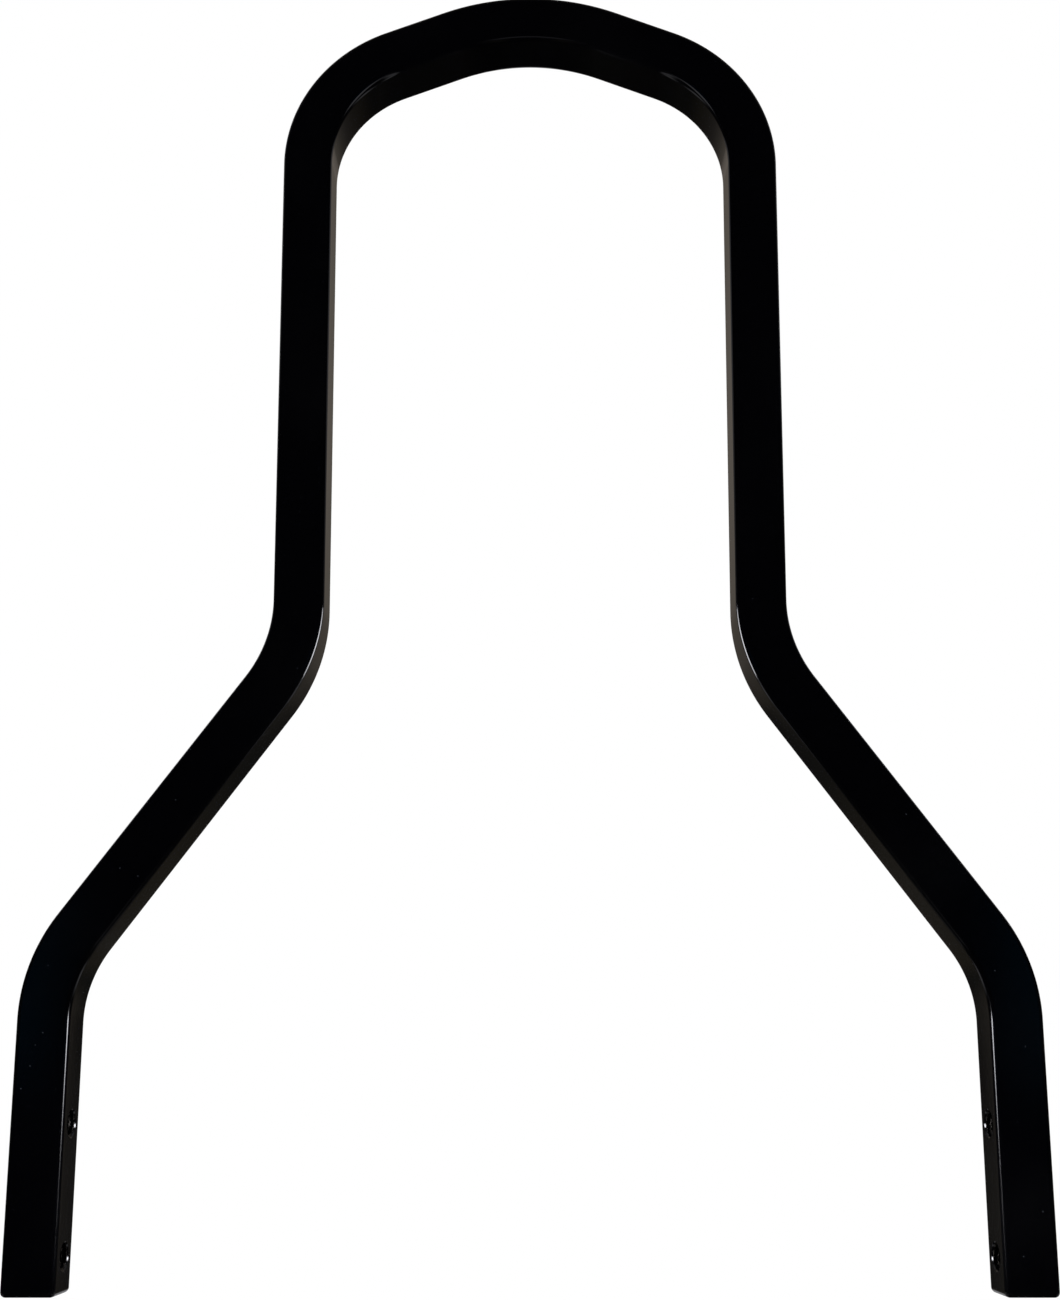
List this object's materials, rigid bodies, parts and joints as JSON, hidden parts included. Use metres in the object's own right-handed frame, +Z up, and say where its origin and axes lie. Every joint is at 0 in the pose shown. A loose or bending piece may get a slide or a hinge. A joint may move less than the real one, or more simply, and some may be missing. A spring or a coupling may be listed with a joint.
{
  "type": "sissy bar",
  "caption": "Tall hoop of bent square steel bar with a gently peaked top, flared below into straight feet that are tapped on their inner faces; holds a backrest behind a motorcycle seat.",
  "frame": {"origin": "middle of the rectangle that holds the lower ends of both feet, halfway between the feet and halfway through the bar", "axes": "+Z up, from the feet to the crown; +X across the bar, from one foot to the other; +Y from the front of the bar, which the picture shows, to its back"},
  "size_m": [0.3038, 0.0158, 0.4219],
  "materials": {
    "gloss_black_coat": "gloss black powder coat over steel, smooth with a faint orange peel",
    "bare_cut_steel": "bare steel of the tapped threads, cut bright after coating"
  },
  "bodies": {
    "root": {"sissy_bar": "gloss_black_coat"}
  },
  "joints": []
}
